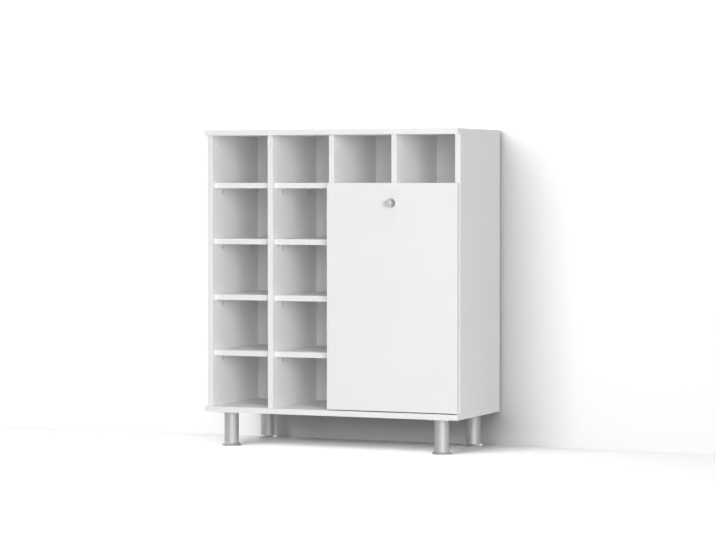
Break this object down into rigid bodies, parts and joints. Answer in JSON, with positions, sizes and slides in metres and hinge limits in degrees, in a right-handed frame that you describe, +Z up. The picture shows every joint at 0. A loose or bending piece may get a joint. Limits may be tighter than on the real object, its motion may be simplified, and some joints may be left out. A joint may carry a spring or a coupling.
{
  "type": "bathroom laundry cabinet",
  "caption": "White bathroom cabinet on round metal legs, with open cubbies and a tilt-out laundry flap that carries a fabric bag.",
  "frame": {"origin": "on the floor, under the middle of the cabinet's box, knob included", "axes": "+X to the right of someone facing the front, +Y to the rear, +Z up"},
  "size_m": [0.79, 0.3634, 0.92],
  "materials": {
    "white_board": "white melamine-faced chipboard, satin",
    "back_board": "thin hardboard, white on the inside, brown behind",
    "satin_steel": "satin",
    "knob_nickel": "satin nickel plate",
    "zinc_steel": "zinc plate",
    "white_plastic": "moulded, matte",
    "grey_plastic": "moulded, matte",
    "magnet": "sintered",
    "beech": "fluted, raw",
    "buffer_rubber": "translucent",
    "coated_wire": "white powder coat",
    "bag_cloth": "plain-weave cotton canvas"
  },
  "bodies": {
    "carcass": {"top_panel": "white_board", "bottom_panel": "white_board", "left_side": "white_board", "left_divider": "white_board", "centre_divider": "white_board", "upper_partition": "white_board", "right_side": "white_board", "hamper_shelf": "white_board", "left_shelf_1": "white_board", "left_shelf_2": "white_board", "left_shelf_3": "white_board", "left_shelf_4": "white_board", "middle_shelf_1": "white_board", "middle_shelf_2": "white_board", "middle_shelf_3": "white_board", "middle_shelf_4": "white_board", "back_panel": "back_board", "back_screws": "zinc_steel", "shelf_supports": "white_plastic", "support_pins": "zinc_steel", "cam_housings": "zinc_steel", "cam_bolts": "zinc_steel", "cam_covers": "white_plastic", "wood_dowels": "beech", "leg_tube_front_left": "satin_steel", "leg_tube_front_right": "satin_steel", "leg_tube_rear_left": "satin_steel", "leg_tube_rear_right": "satin_steel", "leg_foot_front_left": "satin_steel", "leg_foot_front_right": "satin_steel", "leg_foot_rear_left": "satin_steel", "leg_foot_rear_right": "satin_steel", "leg_plate_front_left": "zinc_steel", "leg_plate_front_right": "zinc_steel", "leg_plate_rear_left": "zinc_steel", "leg_plate_rear_right": "zinc_steel", "leg_glides": "grey_plastic", "leg_screws": "zinc_steel", "hinge_arm_left": "zinc_steel", "hinge_arm_right": "zinc_steel", "stay_guide_left": "white_plastic", "stay_guide_right": "white_plastic", "fitting_screws": "zinc_steel", "catch_case": "white_plastic", "catch_magnet": "magnet", "flap_buffers": "buffer_rubber"},
    "flap": {"flap_panel": "white_board", "knob": "knob_nickel", "knob_rosette": "knob_nickel", "knob_screw": "zinc_steel", "hinge_cup_left": "zinc_steel", "hinge_cup_right": "zinc_steel", "hinge_pins": "zinc_steel", "stay_arm_left": "zinc_steel", "stay_arm_right": "zinc_steel", "flap_screws": "zinc_steel", "strike_plate": "zinc_steel", "bag_frame": "coated_wire", "frame_sockets": "white_plastic", "laundry_bag": "bag_cloth"}
  },
  "joints": [
    {"name": "flap_tilt", "type": "hinge", "parent": "carcass", "child": "flap", "pos_m": [0.1935, -0.15025, 0.12578], "axis": [1, 0, 0], "range_deg": [0, 35]}
  ]
}
